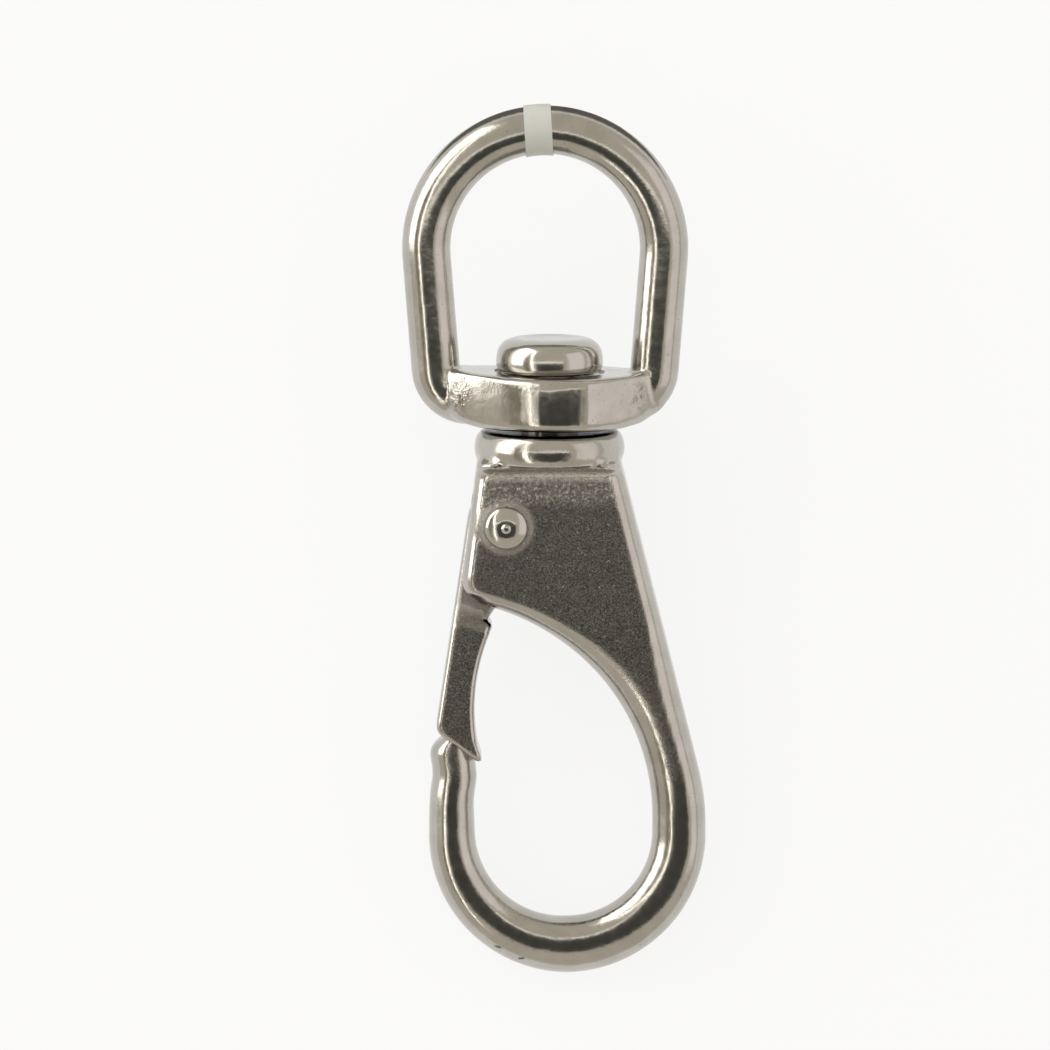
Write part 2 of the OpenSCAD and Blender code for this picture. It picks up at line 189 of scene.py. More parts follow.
def finish_with(piece, kind, **settings):
    take_up(piece)
    tool = piece.modifiers.new(kind.lower(), kind)
    for key, value in settings.items():
        setattr(tool, key, value)
    bpy.ops.object.modifier_apply(modifier=tool.name)


def join_on(piece, other, operation="UNION"):
    finish_with(piece, "BOOLEAN", object=other, operation=operation, solver="EXACT")
    bpy.data.objects.remove(other, do_unlink=True)


def cut_off(piece, cutter):
    join_on(piece, cutter, "DIFFERENCE")


def cast(piece, grain, passes):
    """Turns joined shapes into one casting, with the corners between them run together."""
    finish_with(piece, "REMESH", mode="VOXEL", voxel_size=grain, use_smooth_shade=True)
    finish_with(piece, "SMOOTH", factor=0.5, iterations=passes)


def mark(piece, name, weigh):
    """Marks where a finish applies, as an attribute of the piece from 0 to 1."""
    spots = piece.data.attributes.new(name, "FLOAT", "POINT")
    for i, vert in enumerate(piece.data.vertices):
        spots.data[i].value = weigh(vert.co, vert.normal)


def lay_down(piece, body, node):
    """Lays a finished piece into its place, on its body and for its CAD node."""
    take_up(piece)
    piece.matrix_world = LAID_DOWN
    bpy.ops.object.transform_apply(location=True, rotation=True, scale=True)
    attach(piece, body)
    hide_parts(node)
    return piece


# ---------------------------------------------------------------- hook body

LIMB_OUT_R = BEND_R + LIMB_W / 2
HOLLOW = Vector((BEND[0] + BEND_R - LIMB_W / 2 - HOLLOW_R, BEND[1] + HOLLOW_RISE))
corner_x = CHEEK_CORNER_R - CHEEK_SIDE
corner_y = HOLLOW.y + math.sqrt((HOLLOW_R + CHEEK_CORNER_R) ** 2 - (corner_x - HOLLOW.x) ** 2)
CORNER = Vector((corner_x, corner_y))
CORNER_END = 360 + math.degrees(math.atan2(HOLLOW.y - corner_y, HOLLOW.x - corner_x))


def touch(point, centre, radius, way):
    """Angle at which a line from a point touches a circle."""
    dx, dy = point[0] - centre[0], point[1] - centre[1]
    return math.degrees(math.atan2(dy, dx) + way * math.acos(radius / math.hypot(dx, dy)))


GATE_NECK = Vector((-NECK_W / 2 - 0.1, -COLLAR_H))
LIMB_NECK = Vector((NECK_W / 2, -COLLAR_H))
CORNER_START = touch(GATE_NECK, CORNER, CHEEK_CORNER_R, 1)
GATE_CORNER = CORNER + CHEEK_CORNER_R * heading(CORNER_START)
LIMB_TOP = Vector((15.42, -35.1))
LIMB_TURN = Vector((16.11, -37.9))
LIMB_SIDE = Vector(BEND) + LIMB_OUT_R * heading(3)

NECK_STEPS, EDGE_STEPS, CORNER_STEPS, HOLLOW_STEPS = 9, 12, 14, 42
CHEEK_STEPS = EDGE_STEPS + CORNER_STEPS + HOLLOW_STEPS
BEND_STEPS = 60
NECK_RAMP = 1.15
NECK_IN = Vector((0.4, 1.5))
LIMB_LAG, LIMB_STRAIGHT = 1.25, 0.88
QUARTER = 9
FULLEST = 0.97
FLAT_STEEPEST, BORDER_FALL = 74, 1.4
LIMB_RIDGE = 0.2


def down_to(a, b, y):
    """The point of the line from a to b that lies at a height."""
    return a.lerp(b, (a.y - y) / (a.y - b.y))


def cheek_edges():
    """Points down the neck, the cheeks and the limb: the gate's side, then the outer side."""
    levels = [-COLLAR_H - NECK_RAMP * i / NECK_STEPS for i in range(NECK_STEPS + 1)]
    inner = [down_to(GATE_NECK, GATE_CORNER, y) for y in levels]
    outer = [down_to(LIMB_NECK, LIMB_TOP, y) for y in levels]
    gate_side, limb_side = inner[-1], outer[-1]
    inner += [gate_side.lerp(GATE_CORNER, i / EDGE_STEPS) for i in range(1, EDGE_STEPS)]
    inner += rounding(CHEEK_CORNER_R, CORNER_START, CORNER_END, CORNER, CORNER_STEPS)
    inner += rounding(HOLLOW_R, CORNER_END - 180, 0, HOLLOW, HOLLOW_STEPS)[1:]
    for i in range(1, CHEEK_STEPS + 1):
        t = (i / CHEEK_STEPS) ** LIMB_LAG
        if t < LIMB_STRAIGHT:
            outer.append(limb_side.lerp(LIMB_TOP, t / LIMB_STRAIGHT))
        else:
            u = (t - LIMB_STRAIGHT) / (1 - LIMB_STRAIGHT)
            outer.append(LIMB_TOP.lerp(LIMB_TURN, u).lerp(LIMB_TURN.lerp(LIMB_SIDE, u), u))
    return inner, outer


def bar_section(a, b, half_t, roundness, border_a=1.0, border_b=1.0, ridge=0.0,
                fall_a=BORDER_FALL):
    """One ring of a bar between edge points a and b, with a rounded border on each side.

    A ridge above 0 moves the highest line of the bar towards b; fall_a is how far a's border drops
    for each millimetre of its width.
    """
    half_w = (b - a).length / 2
    way = (b - a).normalized()
    middle = (a + b) / 2
    steepest = math.radians(mix(FLAT_STEEPEST, 90, roundness))
    ring = []
    for sx, sz in ((1, 1), (-1, 1), (-1, -1), (1, -1)):
        border = border_b if sx > 0 else border_a
        fullest = FULLEST * half_w * (1 - sx * ridge)
        rx = mix(min(border, fullest), fullest, roundness)
        fall = border * (BORDER_FALL if sx > 0 else fall_a)
        rz = mix(min(fall, FULLEST * half_t), FULLEST * half_t, roundness)
        corner = []
        for j in range(QUARTER):
            v = steepest * j / (QUARTER - 1)
            out = (math.cos(v) - math.cos(steepest)) / (1 - math.cos(steepest))
            w = sx * (half_w - rx + rx * out)
            z = sz * (half_t - rz + rz * math.sin(v) / math.sin(steepest))
            corner.append(Vector((middle.x + way.x * w, middle.y + way.y * w, z)))
        ring += corner if sx == sz else corner[::-1]
    return ring


def bend_half_w(a):
    """Half the bar's width, at an angle round the bend from the limb (0) to the nose (180)."""
    if a < 90:
        return mix(LIMB_W, BEND_W, a / 90) / 2
    return mix(BEND_W, NOSE_W, a / 90 - 1) / 2


# Up the nose, a waist and then the swollen lip that the gate closes on: height, inner side, outer
NOSE = ((-40.2, -7.72, -12.42), (-38.8, -7.8, -12.38), (-37.6, -7.72, -12.33),
        (-36.6, -7.55, -12.2), (-35.7, -7.45, -12.05), (-34.9, -7.55, -12.08),
        (-34.2, -7.6, -12.22), (-33.4, -7.7, -12.32), (-32.7, -7.8, -12.16),
        (-32.1, -8.0, -11.7), (-31.6, -8.4, -11.1), (-31.3, -8.9, -10.6))


def body_rings():
    """The hook's rings, from inside the collar down to the bend and up to the nose's tip."""
    inner, outer = cheek_edges()
    limb_neck_in = Vector((-NECK_IN.x, NECK_IN.y))
    rings = [bar_section(GATE_NECK + NECK_IN, LIMB_NECK + limb_neck_in, NECK_T / 2, 1)]
    for i, (a, b) in enumerate(zip(inner, outer)):
        t = max(0, i - NECK_STEPS) / CHEEK_STEPS
        under = smooth(i / NECK_STEPS)
        limb = smooth((t - 0.5) / 0.5)
        half_t = mix(mix(NECK_T, BODY_T, under), BAR_T, limb) / 2
        widening = smooth((t - 0.24) / 0.14)
        rings.append(bar_section(a, b, half_t, limb, mix(1.2, 3.5, widening), 1.55,
                                 LIMB_RIDGE * limb, mix(BORDER_FALL, 0.62, widening)))
    for i in range(1, BEND_STEPS + 1):
        a = 180 * i / BEND_STEPS
        side = heading(-a)
        rings.append(bar_section(Vector(BEND) + (BEND_R - bend_half_w(a)) * side,
                                 Vector(BEND) + (BEND_R + bend_half_w(a)) * side, BAR_T / 2, 1,
                                 ridge=LIMB_RIDGE * (1 - smooth(a / 70))))
    for y, inside, outside in NOSE:
        rings.append(bar_section(Vector((inside, y)), Vector((outside, y)), BAR_T / 2, 1))
    return rings


seat_down = -heading(90 - SEAT_LEAN)
seat_level = heading(-SEAT_LEAN)
SEAT_MIDDLE = -1.7


def seat_point(drop, place):
    """A point of the seat's shallow curve, at a place along it and a distance under the pivot."""
    swell = SEAT_SWELL * max(0.0, 1 - ((place - SEAT_MIDDLE) / SEAT_SWELL_HALF) ** 2)
    return PIVOT + seat_down * (drop + swell) + seat_level * place


def build_hook_body():
    body = draw_out("hook_casting", body_rings())
    rim = [(0.5, 0.16), (6.55, 0.16), (6.9, 0.11), (7.2, -0.06), (7.42, -0.35), (7.57, -0.7),
           (7.68, -1.1), (7.74, -1.55), (7.71, -2.05), (7.6, -2.5), (7.44, -2.85), (7.3, -3.05),
           (0.5, -3.05)]
    join_on(body, turn_up("collar", rim, sides=120))
    for side in (1, -1):
        halo = [(1.0, 3.2), (3.15, 3.2), (3.15, 4.24), (2.95, 4.3), (2.7, 4.41), (2.45, 4.53),
                (2.25, 4.6), (1.0, 4.62)]
        join_on(body, turn_up("boss", [(r, h * side) for r, h in halo], PIVOT, "Z", 64))
    cast(body, GRAIN, 5)
    seat = [seat_point(SEAT_DROP, -9 + i * 0.6) for i in range(24)]
    over_nose = [seat[-1] - seat_down * 6, seat[0] - seat_down * 6]
    cut_off(body, plate("above_seat", seat + over_nose, CUT_THROUGH))
    cast(body, GRAIN, 3)
    slot_end = PIVOT + Vector((SLOT_R - 2, -12))
    arch = rounding(SLOT_R, 0, 143, PIVOT, 24)
    outline = [slot_end] + arch + [(-30, arch[-1].y), (-30, slot_end.y)]
    cut_off(body, plate("slot", outline, SLOT_W))
    cut_off(body, turn_up("shank_bore", [(SHANK_R, 1), (SHANK_R, SHANK_END)]))
    cut_off(body, turn_up("pivot_bore", [(PIN_R, -9), (PIN_R, 9)], PIVOT, "Z"))
    return body


def cheek_flats(place, normal):
    """The cheeks' flats, which the tumbling left matte: all but the rivet's hammered surround."""
    facing = smooth((abs(normal.z) - 0.93) / 0.06)
    surround = smooth((3.3 - math.hypot(place.x - PIVOT.x, place.y - PIVOT.y)) / 0.5)
    under = smooth((-COLLAR_H - place.y) / 0.2)
    # the neck's ramp is marked matte too, so that the painted pale reflection reaches it
    neck = smooth((place.y + 4.6) / 0.6) * under * smooth((6.3 - abs(place.x)) / 0.8)
    matte = facing * smooth((place.y + 38) / 5) * under
    matte = max(matte, 0.9 * surround)
    return max(matte * (1 - neck), 0.75 * neck * smooth((abs(normal.z) - 0.3) / 0.3))


def under_collar(place, normal):
    """The strip below the collar that is hammered, not just grainy."""
    return smooth((place.y + 8.5) / 2.5)


def painted_neck_sheen(place, normal):
    """The neck's ramp and the rivet's surround, where the dull finish is painted pale as a painted
    reflection of light on their sloping faces.
    """
    surround = smooth((3.5 - math.hypot(place.x - PIVOT.x, place.y - PIVOT.y)) / 1.0)
    return max(smooth((place.y + 5.0) / 0.9), 0.15 * surround)


def painted_gap_shade(place, normal):
    """Painted shade on the two faces and the shank inside the swivel's gap, which are painted near
    black.
    """
    inside = smooth((7.2 - math.hypot(place.x, place.z)) / 0.3)
    return inside * smooth((abs(normal.y) - 0.6) / 0.3) * smooth((1.0 - abs(place.y - 0.4)) / 0.3)


def bend_pits(place, normal):
    """Two small casting pits, low on the bend."""
    pits = 0.0
    for x, y, turn in ((-5.3, -53.3, -20), (-2.9, -54.5, 10)):
        off = place.xy - Vector((x, y))
        long_way = off.dot(heading(turn)) / 0.5
        short_way = off.dot(heading(turn + 90)) / 0.17
        pits = max(pits, smooth((1 - math.hypot(long_way, short_way)) / 0.5))
    return pits * smooth(place.z)


hook = build_hook_body()
mark(hook, "matte", cheek_flats)
mark(hook, "coarse", under_collar)
mark(hook, "pale", painted_neck_sheen)
mark(hook, "gap_shade", painted_gap_shade)
mark(hook, "pitted", bend_pits)
lay_down(hook, "hook", "hook_body")

# ---------------------------------------------------------------- swivel pin


def build_swivel_pin():
    """A plain shank under a button with a rounded edge and a slightly dished top."""
    profile = [(0.6, SHANK_END), (SHANK_R, SHANK_END), (SHANK_R, 6.12), (4.85, 6.12), (5.08, 6.18),
               (5.27, 6.32), (5.4, 6.55), (5.48, 6.85), (5.5, 7.2), (5.48, 7.6), (5.43, 8.0),
               (5.33, 8.38), (5.17, 8.72), (4.95, 9.03), (4.66, 9.28), (4.3, 9.47), (3.85, 9.6),
               (3.4, 9.66), (3.0, 9.67), (2.7, 9.65), (2.4, 9.6), (1.6, 9.56), (0.6, 9.55)]
    return turn_up("headed_pin", profile, sides=120)


pin = build_swivel_pin()
# painted shade: near black on the shank where it stands inside the swivel's gap
mark(pin, "gap_shade", lambda place, normal: smooth((1.4 - place.y) / 0.3))
lay_down(pin, "hook", "swivel_pin")

# ---------------------------------------------------------------- swivel eye

# Along the base ring and its webs, from the left leg to the right: half depth, lower side, top, and
# front edge under the top's chamfer
WEB_DEPTH = ((-11.8, 1.3), (-11.2, 1.7), (-10.6, 2.2), (-10, 2.7), (-9, 3.45), (-8, 4.13),
             (-7, 4.75), (-6, 5.34), (-5, 5.92), (-4, 6.46), (-3, 6.92), (-2, 7.31), (-1, 7.6),
             (0, 7.74), (1, 7.75), (2, 7.67), (3, 7.48), (4, 7.2), (5, 6.6), (6, 5.85), (7, 5.07),
             (8, 4.3), (9, 3.5), (10, 2.7), (10.6, 2.2), (11.2, 1.7), (11.8, 1.3))
WEB_LOW = ((-11.8, 2.9), (-11.2, 2.35), (-9.3, 1.2), (-7.2, 0.72), (-5, 0.6), (5, 0.6), (7.4, 0.66),
           (9.3, 1.05), (11.2, 2.1), (11.8, 2.7))
WEB_TOP = ((-11.8, 6.6), (-9.5, 6.6), (-8, 6.4), (-5, 6.2), (-1.2, 6.07), (2, 6.05), (8, 6.1),
           (9.5, 6.3), (11.8, 6.4))
WEB_EDGE = ((-11.8, 6.2), (-9, 6.2), (-6.8, 6.0), (-5.2, 5.75), (-3.9, 5.47), (-2.6, 5.28),
            (-1, 5.2), (0.2, 5.3), (1.9, 5.46), (4.3, 5.58), (6.3, 5.72), (7, 5.8), (9, 5.9),
            (11.8, 6.0))
EDGE_R = 1.1
WEB_END, WEB_STEP, WEB_STATIONS = -11.8, 0.2, 119


def web_ring(x):
    """One ring across the base ring and its webs, round the bore's middle height."""
    depth, low = read_off(WEB_DEPTH, x), read_off(WEB_LOW, x)
    top, edge = read_off(WEB_TOP, x), read_off(WEB_EDGE, x)
    round_r = min(EDGE_R, depth * 0.5)
    half = rounding(round_r, -90, -4, (depth - round_r, low + round_r), 7)
    half += [Vector((depth + 0.07 * math.sin(math.pi * t), mix(low + round_r, edge, t)))
             for t in (0.12, 0.3, 0.5, 0.7, 0.88, 1.0)]
    half += [Vector((depth - 0.22, mix(edge, top, 0.5))), Vector((depth - 0.6, top)),
             Vector((depth * 0.55, top + 0.02))]
    front_half = [Vector((x, y, z)) for z, y in half]
    back_half = [Vector((x, y, -z)) for z, y in reversed(half)]
    return front_half + back_half


def bow_path():
    """Centre line of the bow, from the ring round the corner, over the arch and back."""
    lean = math.radians(LEG_LEAN)
    top = Vector((-ARCH_R * math.cos(lean), ARCH_Y - ARCH_R * math.sin(lean)))
    height = (top.y + LEG_CORNER_R * math.sin(lean) - RING_MID - LEG_CORNER_R) / math.cos(lean)
    turn = top + height * Vector((math.sin(lean), -math.cos(lean)))
    turn += LEG_CORNER_R * Vector((math.cos(lean), math.sin(lean)))
    half = [Vector((-SHANK_R, RING_MID))]
    half += rounding(LEG_CORNER_R, 270, 180 + LEG_LEAN, turn, 14)
    half += rounding(ARCH_R, 180 + LEG_LEAN, 90, (0, ARCH_Y), 48)
    return half + [Vector((-p.x, p.y)) for p in reversed(half[:-1])]


def round_bar(path, radius, sides=40):
    """Rings of a round bar along a path in the middle plane."""
    rings = []
    for i, point in enumerate(path):
        ahead = (path[min(i + 1, len(path) - 1)] - path[max(i - 1, 0)]).normalized()
        out = Vector((ahead.y, -ahead.x)) * radius
        rings.append([Vector((point.x + out.x * c, point.y + out.y * c, radius * s))
                      for c, s in (heading(360 * j / sides) for j in range(sides))])
    return rings


def build_swivel_eye():
    path = [point + Vector((EYE_SHIFT, 0)) for point in bow_path()]
    eye = draw_out("eye_casting", round_bar(path, EYE_BAR_R))
    stations = [WEB_END + WEB_STEP * i for i in range(WEB_STATIONS)]
    join_on(eye, draw_out("base_ring", [web_ring(x) for x in stations]))
    cast(eye, GRAIN, 5)
    cut_off(eye, turn_up("button_seat", [(5.66, 5.86), (5.66, 7.2)], sides=96))
    cut_off(eye, turn_up("swivel_bore", [(SHANK_BORE, -1), (SHANK_BORE, 7)]))
    return eye


def web_roots(place, normal):
    """The as-cast hollows where the webs run into the legs."""
    left = math.hypot((place.x + 9.4) / 1.5, (place.y - 4.2) / 2.6)
    right = math.hypot((place.x - 9.1) / 1.3, (place.y - 4.0) / 1.8)
    return smooth((1.25 - min(left, right)) / 1.25) ** 1.5 * smooth((abs(place.z) - 1.0) / 1.2)


eye = build_swivel_eye()
mark(eye, "rough_cast", web_roots)
mark(eye, "gap_shade", painted_gap_shade)
lay_down(eye, "eye", "swivel_eye")

# ---------------------------------------------------------------- band


def build_band():
    """A thin film wrapped once round the bar at the top of the arch, with straight sides."""
    out, side = heading(BAND_TURN), heading(BAND_TURN - 90)
    middle = Vector((EYE_SHIFT, ARCH_Y))
    stations = range(BAND_STEPS + 1)
    rings = []
    for radius, turns in ((EYE_BAR_R + BAND_OUT, stations), (EYE_BAR_R + BAND_IN, stations[::-1])):
        for i in turns:
            offset = BAND_W * (i / BAND_STEPS - 0.5)
            ring = []
            for j in range(60):
                c, s = heading(6 * j)
                reach = ARCH_R + radius * c
                point = middle + out * math.sqrt(reach ** 2 - offset ** 2) + side * offset
                ring.append(Vector((point.x, point.y, radius * s)))
            rings.append(ring)
    return draw_out("wrapped_band", rings + [rings[0]])


# ---------------------------------------------------------------- gate

gate_out = heading(180 - GATE_LEAN)
gate_down = heading(270 - GATE_LEAN)
BLADE_TOP, ROOT_TOP, ROOT_END, EAR_TOP, RIM_R = 11.3, 8.0, 12.4, 10.16, 0.65
ROOT_STEPS = 30


def gate_back(s):
    """The blade's outer edge, at a distance down from the pivot."""
    return PIVOT + gate_out * HEEL_R + gate_down * s


def gate_inside(s, inset=0.0):
    """The blade's hollowed inner edge, at a distance down from the pivot."""
    width = WAIST_W + BLADE_HOLLOW_R - math.sqrt(BLADE_HOLLOW_R ** 2 - (s - WAIST_AT) ** 2)
    return gate_back(s) - gate_out * (width - inset)


def seat_crossing(edge, drop):
    """Where an edge of the blade comes down to the seat."""
    s = 10.0
    while (edge(s) - PIVOT).dot(seat_down) < drop:
        s += 0.02
    return s


def blade_outline(inset):
    """The blade's outline, drawn in by an inset all round but at its top."""
    reach = SEAT_DROP - SEAT_GAP - inset

    def back(s):
        return gate_back(s) - gate_out * inset

    def inside(s):
        return gate_inside(s, inset)

    heel_corner = back(seat_crossing(back, reach))
    beak = inside(seat_crossing(inside, reach - 0.1)) + seat_level * 0.5
    start, end = ((corner - PIVOT).dot(seat_level) for corner in (heel_corner, beak))
    seat = [seat_point(reach, mix(start + 1.1, end - 2.0, i / 3)) for i in range(4)]
    inside_end = (beak - gate_back(0)).dot(gate_down)
    inner = [inside(mix(BLADE_TOP, inside_end - 2.0, i / 14)) for i in range(15)]
    outline = [back(BLADE_TOP)] + eased_corner(back(BLADE_TOP), heel_corner, seat[0], 0.9)
    return outline + seat + eased_corner(seat[-1], beak, inner[-1], 1.7, 8) + inner[::-1]


def build_gate():
    # the blade, with a rolled rim along both edges and the seat
    half = [(BLADE_T / 2 - RIM_R + RIM_R * math.sin(a), RIM_R - RIM_R * math.cos(a))
            for a in (math.radians(15 * i) for i in range(7))]
    levels = [(-z, inset) for z, inset in reversed(half)] + half
    gate = draw_out("gate_casting", [[Vector((x, y, z)) for x, y in blade_outline(inset)]
                                     for z, inset in levels])
    tongue = rounding(HEEL_R, 180 - GATE_LEAN, -20, PIVOT, 40)
    tongue += [gate_inside(9.6, 0.7), gate_inside(11.6, 0.7), gate_back(11.6)]
    heel = plate("tongue", tongue, TONGUE_T)
    finish_with(heel, "BEVEL", width=0.6, segments=5, limit_method="ANGLE",
                angle_limit=math.radians(50))
    # from the tongue, thin enough for the slot, up to the blade, with a small ear on its inner side
    root = []
    for i in range(ROOT_STEPS + 1):
        t = i / ROOT_STEPS
        down = mix(9.0, ROOT_END, t)
        ear = min(1.0, max(0.0, (down - EAR_TOP) / 0.7))
        inner = gate_inside(down, 0.8 * (1 - math.sqrt(1 - (1 - ear) ** 2)))
        rise = smooth((t - 0.05) / 0.67)
        root.append(bar_section(gate_back(mix(ROOT_TOP, ROOT_END, t)), inner,
                                mix(2.08, BLADE_T / 2, rise), 0, RIM_R, RIM_R, fall_a=1.0))
    for part in (heel, draw_out("root", root)):
        join_on(gate, part)
    cast(gate, GATE_GRAIN, 5)
    cut_off(gate, turn_up("gate_bore", [(PIN_BORE, -4), (PIN_BORE, 4)], PIVOT, "Z"))
    return gate


def gate_flats(place, normal):
    """The blade's flats, which the tumbling left matte, with a softer edge near the tongue."""
    down = (place.xy - gate_back(0)).dot(gate_down)
    root = smooth((11.4 - down) / 1.2)
    return smooth((abs(normal.z) - mix(0.93, 0.7, root)) / mix(0.04, 0.15, root))


def painted_root_sheen(place, normal):
    """The tongue and the blade's root, painted paler between the cheeks as a painted reflection of
    light on the ramp up from the tongue.
    """
    return 0.5 * smooth((10.4 - (place.xy - gate_back(0)).dot(gate_down)) / 2.2)


gate = build_gate()
mark(gate, "matte", gate_flats)
mark(gate, "pale", painted_root_sheen)
lay_down(gate, "gate", "gate")

# ---------------------------------------------------------------- gate pin


def build_gate_pin():
    """A rivet with a shallow cone for each head and a small pip where the cone ends."""
    half = [(PIN_R, 3.9), (PIN_R, 4.5), (2.1, 4.54), (2.16, 4.62), (2.13, 4.7), (2.03, 4.79),
            (1.7, 4.97), (1.3, 5.13), (1.0, 5.23), (0.85, 5.26), (0.5, 5.28), (0.43, 5.34),
            (0.36, 5.42), (0.24, 5.47), (0.12, 5.49)]
    profile = [(r, -h) for r, h in reversed(half)] + half
    return turn_up("gate_rivet", profile, PIVOT, "Z", 72)


rivet = build_gate_pin()
lay_down(rivet, "hook", "gate_pin")

band = build_band()
lay_down(band, "eye", "eye_band")
for turned in (pin, rivet, band):
    take_up(turned)
    bpy.ops.object.shade_smooth_by_angle(angle=math.radians(35))

# ---------------------------------------------------------------- materials


class Wire:
    """A shader socket that sums, scales and mixes as plain arithmetic does."""

    def __init__(self, bench, socket):
        self.bench = bench
        self.socket = socket

    def maths(self, operation, a, b):
        return self.bench.node("Math", {"operation": operation}, {0: a, 1: b})

    def __add__(self, other):
        return self.maths("ADD", self, other)

    def __radd__(self, other):
        return self.maths("ADD", other, self)

    def __sub__(self, other):
        return self.maths("SUBTRACT", self, other)

    def __rsub__(self, other):
        return self.maths("SUBTRACT", other, self)

    def __mul__(self, other):
        return self.maths("MULTIPLY", self, other)

    def __rmul__(self, other):
        return self.maths("MULTIPLY", other, self)


class Finish:
    """A material with one principled surface, and the bench that its nodes are laid out on."""

    def __init__(self, name, **constants):
        self.material = bpy.data.materials.new(name)
        self.material.use_nodes = True
        self.tree = self.material.node_tree
        self.surface = self.tree.nodes["Principled BSDF"]
        for socket, value in constants.items():
            self.surface.inputs[socket.replace("_", " ")].default_value = value

    def node(self, kind, settings=None, sockets=None, output=0):
        made = self.tree.nodes.new("ShaderNode" + kind)
        for key, value in (settings or {}).items():
            setattr(made, key, value)
        for key, value in (sockets or {}).items():
            if isinstance(value, Wire):
                self.tree.links.new(value.socket, made.inputs[key])
            else:
                made.inputs[key].default_value = value
        return Wire(self, made.outputs[output])

    def feed(self, socket, wire):
        self.tree.links.new(wire.socket, self.surface.inputs[socket])

    def place(self):
        return self.node("TexCoord", output="Object")

    def marked(self, name):
        return self.node("Attribute", {"attribute_name": name}, output="Fac")

    def noise(self, scale, detail=2.0, roughness=0.5):
        sockets = {"Vector": self.place(), "Scale": scale, "Detail": detail,
                   "Roughness": roughness}
        return self.node("TexNoise", None, sockets, "Fac")

    def spread(self, value, low, high, to_low=0.0, to_high=1.0):
        return self.node("MapRange", {"interpolation_type": "SMOOTHSTEP"},
                         {"Value": value, "From Min": low, "From Max": high,
                          "To Min": to_low, "To Max": to_high}, "Result")

    def blend(self, factor, a, b):
        return self.node("Mix", {"data_type": "RGBA"}, {0: factor, 6: a, 7: b}, 2)

    def bump(self, height, distance, normal=None):
        sockets = {"Height": height, "Strength": 1.0, "Distance": distance}
        if normal:
            sockets["Normal"] = normal
        return self.node("Bump", None, sockets, "Normal")


def cast_steel():
    """Cast stainless steel: bright where it was tumbled, grainy and dull on the flats, with painted
    shade in the swivel's gap and a painted pale reflection on the neck, the rivet's surround and
    the gate's root.
    """
    steel = Finish("cast_steel", Metallic=1.0, IOR=2.5)
    matte, coarse, rough_cast = (steel.marked(name) for name in ("matte", "coarse", "rough_cast"))
    gap_shade, pitted = steel.marked("gap_shade"), steel.marked("pitted")
    cast_wave = steel.noise(380, 1.0)
    ripple = steel.noise(1500, 2.0)
    grain = steel.noise(5200, 3.0, 0.6)
    mottle = steel.noise(900, 3.0, 0.6)
    pebble = steel.noise(2500, 2.0, 0.55)
    bright = steel.blend(steel.spread(cast_wave, 0.3, 0.7), (0.45, 0.43, 0.39, 1),
                         (0.5, 0.475, 0.435, 1))
    fleck = steel.spread(steel.noise(2700, 1.0), 0.68, 0.76)
    fleck = fleck + coarse * steel.spread(pebble, 0.48, 0.72)
    dull = steel.blend(steel.spread(grain, 0.3, 0.7), (0.18, 0.168, 0.155, 1),
                       (0.31, 0.291, 0.27, 1))
    dull = steel.blend(steel.spread(mottle, 0.3, 0.7, 0, 0.35), dull, (0.14, 0.13, 0.12, 1))
    # painted reflection: the neck's ramp, the rivet's surround and the gate's root turned pale
    dull = steel.blend(steel.marked("pale"), dull, (0.74, 0.7, 0.65, 1))
    dull = steel.blend(fleck * 0.75, dull, (0.62, 0.59, 0.55, 1))
    speck = steel.spread(steel.noise(4200, 1.0), 0.68, 0.76, 0, 0.45)
    colour = steel.blend(matte, steel.blend(speck, bright, (0.2, 0.185, 0.165, 1)), dull)
    knobs = steel.noise(1300, 3.0, 0.6)
    colour = steel.blend(rough_cast * steel.spread(knobs, 0.5, 0.62), colour, (0.2, 0.18, 0.16, 1))
    colour = steel.blend(pitted * 0.85, colour, (0.03, 0.027, 0.024, 1))
    # painted shade: near black inside the swivel's gap
    colour = steel.blend(gap_shade * 0.93, colour, (0.02, 0.018, 0.016, 1))
    polish = steel.spread(ripple, 0.3, 0.7, 0.14, 0.2)
    steel.feed("Base Color", colour)
    steel.feed("Roughness", polish + matte * (steel.spread(grain, 0.3, 0.7, 0.3, 0.46) - polish))
    bump = steel.bump(cast_wave, 0.00003)
    bump = steel.bump(ripple, 0.000013, bump)
    bump = steel.bump(matte * grain, 0.000022, bump)
    bump = steel.bump(grain, 0.000006, bump)
    bump = steel.bump(matte * coarse * pebble, 0.00022, bump)
    bump = steel.bump(rough_cast * knobs, 0.00024, bump)
    steel.feed("Normal", bump)
    return steel.material


def polished_steel():
    steel = Finish("polished_steel", Metallic=1.0, IOR=2.5)
    wave = steel.noise(600, 2.0)
    bright = steel.blend(wave, (0.47, 0.45, 0.41, 1), (0.52, 0.5, 0.455, 1))
    # painted shade: near black on the shank inside the swivel's gap
    steel.feed("Base Color", steel.blend(steel.marked("gap_shade") * 0.95, bright,
                                         (0.02, 0.018, 0.016, 1)))
    steel.feed("Roughness", steel.spread(wave, 0.3, 0.7, 0.13, 0.19))
    steel.feed("Normal", steel.bump(wave, 0.00002))
    return steel.material


def pale_film():
    film = Finish("pale_film", Roughness=0.45)
    shade = film.noise(700, 3.0)
    film.feed("Base Color", film.blend(shade, (0.6, 0.62, 0.6, 1), (0.67, 0.68, 0.66, 1)))
    film.feed("Roughness", film.spread(shade, 0.3, 0.7, 0.38, 0.5))
    film.feed("Normal", film.bump(shade, 0.00002))
    return film.material


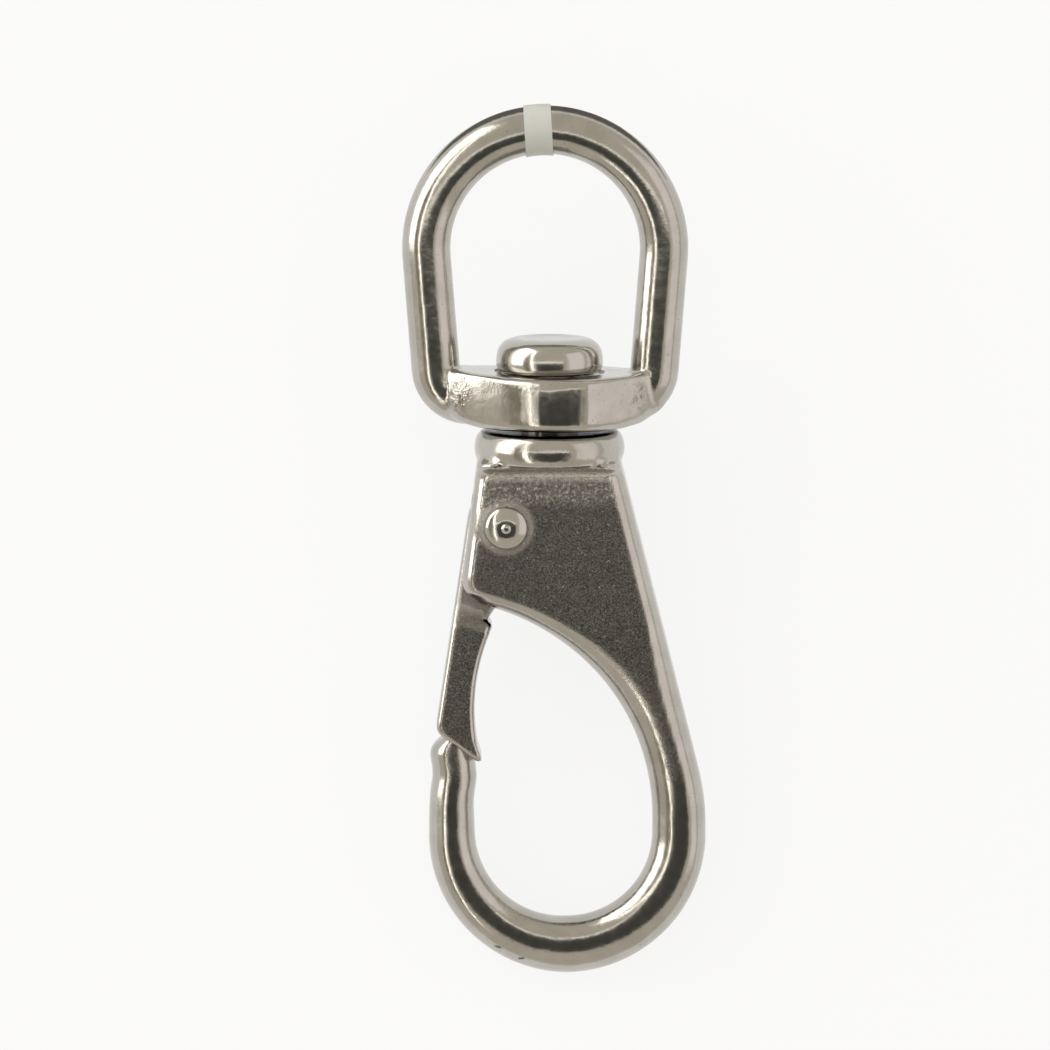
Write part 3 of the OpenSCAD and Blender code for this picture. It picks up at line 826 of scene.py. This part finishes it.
def drawn_wire():
    wire = Finish("spring_wire", Metallic=1.0)
    shade = wire.noise(2500, 3.0)
    wire.feed("Base Color", wire.blend(shade, (0.42, 0.41, 0.4, 1), (0.52, 0.51, 0.5, 1)))
    wire.feed("Roughness", wire.spread(shade, 0.3, 0.7, 0.2, 0.35))
    return wire.material


def wear(piece, material):
    piece.data.materials.clear()
    piece.data.materials.append(material)


steel, polished, film, wire = cast_steel(), polished_steel(), pale_film(), drawn_wire()
for piece in (hook, gate, eye):
    wear(piece, steel)
for piece in (pin, rivet):
    wear(piece, polished)
wear(band, film)
for slot in frame["nodes"]["gate_spring"].material_slots:
    slot.material = wire

# ---------------------------------------------------------------- camera, floor and light

LENS, SENSOR_W, CAMERA_OFF, CAMERA_TILT = 533.5, 36, 1.6, 1.71
FLOOR_GLOW = 0.85

camera_data = bpy.data.cameras.new("camera")
camera_data.lens = LENS
camera_data.sensor_width = SENSOR_W
camera_data.clip_start = 0.01
camera = bpy.data.objects.new("camera", camera_data)
bpy.context.scene.collection.objects.link(camera)
look_at = laid(-2.52, -9.75)
tilt = math.radians(CAMERA_TILT)
camera.location = look_at + CAMERA_OFF * Vector((0, math.sin(tilt), math.cos(tilt)))
camera.rotation_euler = (-tilt, 0, 0)
bpy.context.scene.camera = camera

clear_bench()
bpy.ops.mesh.primitive_plane_add(size=6, location=(0, 0, 0))
floor = bpy.context.object
floor.name = "pale_floor"
pale = Finish("pale_floor", Base_Color=(0.9, 0.9, 0.9, 1), Roughness=0.9)
# the camera, mirrors and glass see the floor mostly as white; the rest of it keeps the shadow
rays = pale.node("LightPath", None, None, "Is Camera Ray")
for kind in ("Is Glossy Ray", "Is Transmission Ray"):
    rays = rays.maths("MAXIMUM", rays, pale.node("LightPath", None, None, kind))
glow = pale.node("Emission", None, {"Color": (1, 1, 1, 1), "Strength": 1.0})
plain = Wire(pale, pale.surface.outputs[0])
lit = pale.node("MixShader", None, {0: rays * FLOOR_GLOW, 1: plain, 2: glow})
pale.tree.links.new(lit.socket, pale.tree.nodes["Material Output"].inputs["Surface"])
wear(floor, pale.material)


def softbox(name, place, size, power, colour):
    """A soft lamp, aimed at the middle of the floor under the hook."""
    data = bpy.data.lights.new(name, "AREA")
    data.shape = "RECTANGLE"
    data.size, data.size_y = size
    data.energy = power
    data.color = colour
    lamp = bpy.data.objects.new(name, data)
    bpy.context.scene.collection.objects.link(lamp)
    lamp.location = place
    lamp.rotation_euler = (-Vector(place)).to_track_quat("-Z", "Y").to_euler()


def board(name, left, right, low, high, height, glow):
    """A flat board, left, right, low and high in metres, there only for the steel to mirror."""
    middle = ((left + right) / 2, (low + high) / 2, height)
    bpy.ops.mesh.primitive_plane_add(size=1, location=middle)
    made = bpy.context.object
    made.name = name
    made.scale = (right - left, high - low, 1)
    made.visible_camera = made.visible_diffuse = made.visible_shadow = False
    shade = Finish(name, Base_Color=(0, 0, 0, 1), Roughness=1.0, Emission_Color=glow + (1,),
                   Emission_Strength=1.0)
    wear(made, shade.material)


softbox("window", (-0.9, 0.5, 0.33), (1.4, 0.62), 7.5, (1, 1, 0.98))
softbox("right_panel", (1.1, 0.1, 0.62), (1.6, 0.9), 1.95, (1.0, 0.93, 1.07))
board("dark_hood", -0.105, 0.11, -0.155, 0.005, 0.2, (0.07, 0.069, 0.062))
board("top_slit", -0.142, 0.105, 0.014, 0.026, 0.2, (2.0, 1.95, 1.85))
board("brown_screen", -0.30, -0.165, -0.25, 0.12, 0.2, (0.3, 0.26, 0.2))
board("bright_slit", -0.162, -0.142, -0.25, 0.3, 0.2, (5.0, 4.9, 4.6))
# this one lies just over the floor, past the end of the eye's arch
board("dark_cloth", -0.03, 0.034, 0.047, 0.09, 0.0012, (0.16, 0.15, 0.135))

world = bpy.data.worlds.new("light_tent")
bpy.context.scene.world = world
world.use_nodes = True
background = world.node_tree.nodes["Background"]
background.inputs["Color"].default_value = (0.74, 0.70, 0.61, 1)
background.inputs["Strength"].default_value = 0.9

bpy.context.scene.view_settings.view_transform = "Standard"
